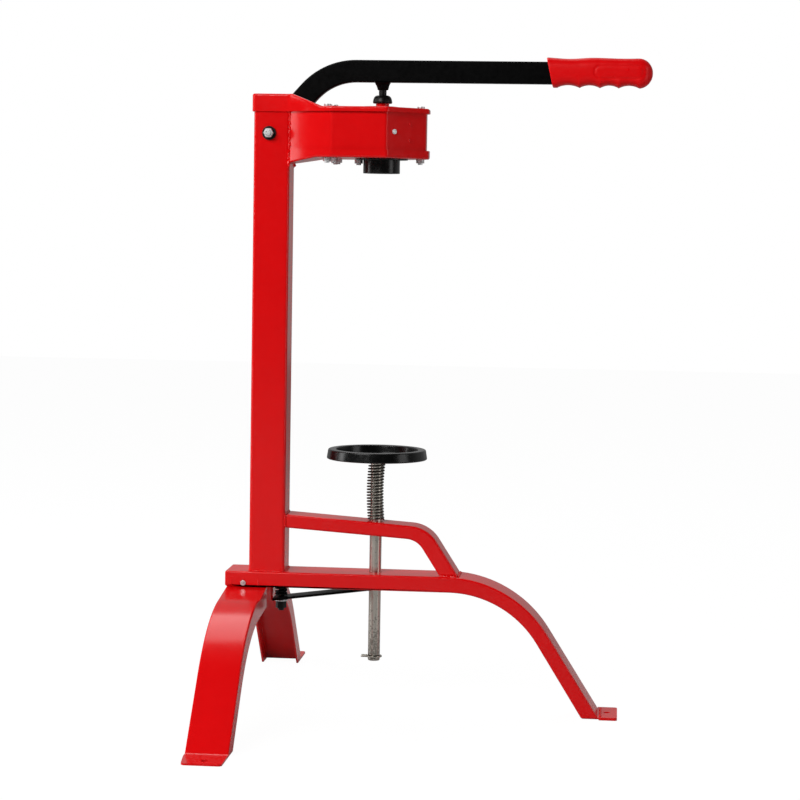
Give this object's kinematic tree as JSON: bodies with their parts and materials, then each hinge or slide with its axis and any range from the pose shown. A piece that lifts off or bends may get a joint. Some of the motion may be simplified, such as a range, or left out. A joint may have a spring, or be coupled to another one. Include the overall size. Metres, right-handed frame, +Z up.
{
  "type": "floor lever corker",
  "caption": "Floor-standing lever corker: red three-legged frame, long hand lever with plunger, sliding jaws in a head, and a sprung bottle rest.",
  "frame": {"origin": "on the floor, midway along the whole length and width of the machine at rest", "axes": "+X from the column towards the lever's grip and the front foot; +Z up; the machine is symmetric about Y = 0"},
  "size_m": [0.4376, 0.592, 0.6884],
  "materials": {
    "red_enamel": "gloss powder coat",
    "black_enamel": "satin powder coat",
    "red_grip": "satin moulded vinyl",
    "black_dish": "gloss moulding",
    "black_guide": "satin moulding",
    "black_oxide": "black oxide",
    "bright_steel": "drawn, bright",
    "zinc_plate": "zinc plated",
    "acetal": "machined",
    "mill_steel": "milled",
    "bronze": "turned, oiled"
  },
  "bodies": {
    "frame": {"column": "red_enamel", "base_beam": "red_enamel", "front_foot_plate": "red_enamel", "rest_bracket": "red_enamel", "rear_leg_near": "red_enamel", "rear_leg_far": "red_enamel", "head_wall_near": "red_enamel", "head_wall_far": "red_enamel", "head_cover": "red_enamel", "head_tray": "red_enamel", "seat_pins": "red_enamel", "neck_guide": "black_guide", "pivot_washers": "black_oxide", "lock_spring": "black_oxide", "rest_spring": "bright_steel", "slider_springs": "bright_steel", "head_bolts": "zinc_plate", "head_nuts": "zinc_plate", "guide_bolts": "zinc_plate", "guide_nuts": "zinc_plate", "pivot_bolt": "zinc_plate", "pivot_nut": "zinc_plate", "seat_screws": "zinc_plate", "leg_rivets": "zinc_plate", "lock_bolt": "zinc_plate", "lock_nut": "zinc_plate", "lock_washer": "zinc_plate", "fulcrum_screw": "zinc_plate", "head_sleeves": "zinc_plate", "pivot_spacers": "zinc_plate", "jaw_front": "acetal", "jaw_seat_near": "mill_steel", "jaw_seat_far": "mill_steel", "spring_posts": "mill_steel"},
    "lever": {"lever_bar": "black_enamel", "lever_bush": "bronze", "cam_cheek_near": "black_enamel", "cam_cheek_far": "black_enamel", "lever_grip": "red_grip", "plunger_rod": "black_oxide", "plunger_socket": "black_enamel"},
    "depth_stop": {"depth_nut": "black_oxide"},
    "slider": {"jaw_slider": "mill_steel", "jaw_rear": "acetal", "roller_pin": "bright_steel"},
    "roller": {"cam_roller": "bright_steel"},
    "near_jaw": {"jaw_near": "acetal"},
    "far_jaw": {"jaw_far": "acetal"},
    "rest": {"rest_dish": "black_dish", "dish_screw": "zinc_plate", "rest_rod": "bright_steel", "rod_clip": "bright_steel"},
    "lock": {"lock_plate": "black_enamel"}
  },
  "joints": [
    {"name": "lever_hinge", "type": "hinge", "parent": "frame", "child": "lever", "pos_m": [-0.1779, 0, 0.6061], "axis": [0, -1, 0], "range_deg": [0, 60]},
    {"name": "depth_nut_adjust", "type": "slide", "parent": "lever", "child": "depth_stop", "axis": [0, 0, 1], "range_m": [0, 0.005]},
    {"name": "jaw_slide", "type": "slide", "parent": "frame", "child": "slider", "axis": [-1, 0, 0], "range_m": [0, 0.012], "deforming": ["slider_springs"]},
    {"name": "roller_spin", "type": "hinge", "parent": "slider", "child": "roller", "pos_m": [-0.1379, 0, 0.6061], "axis": [0, 1, 0], "continuous": true},
    {"name": "near_jaw_slide", "type": "slide", "parent": "frame", "child": "near_jaw", "axis": [-0.7071, -0.7071, 0], "range_m": [0, 0.0085]},
    {"name": "far_jaw_slide", "type": "slide", "parent": "frame", "child": "far_jaw", "axis": [-0.7071, 0.7071, 0], "range_m": [0, 0.0085]},
    {"name": "rest_slide", "type": "slide", "parent": "frame", "child": "rest", "axis": [0, 0, 1], "range_m": [-0.015, 0.06], "deforming": ["rest_spring"]},
    {"name": "lock_tilt", "type": "hinge", "parent": "frame", "child": "lock", "pos_m": [-0.0195, 0, 0.134], "axis": [0, 1, 0], "range_deg": [0, 2.5], "stiffness_Nm_per_rad": 3, "springref_deg": -11.46, "deforming": ["lock_spring"]}
  ],
  "couplings": [
    {"joint": "jaw_slide", "follows": "lever_hinge", "m_per_rad": 0.01145},
    {"joint": "near_jaw_slide", "follows": "lever_hinge", "m_per_rad": 0.0080965},
    {"joint": "far_jaw_slide", "follows": "lever_hinge", "m_per_rad": 0.0080965}
  ]
}
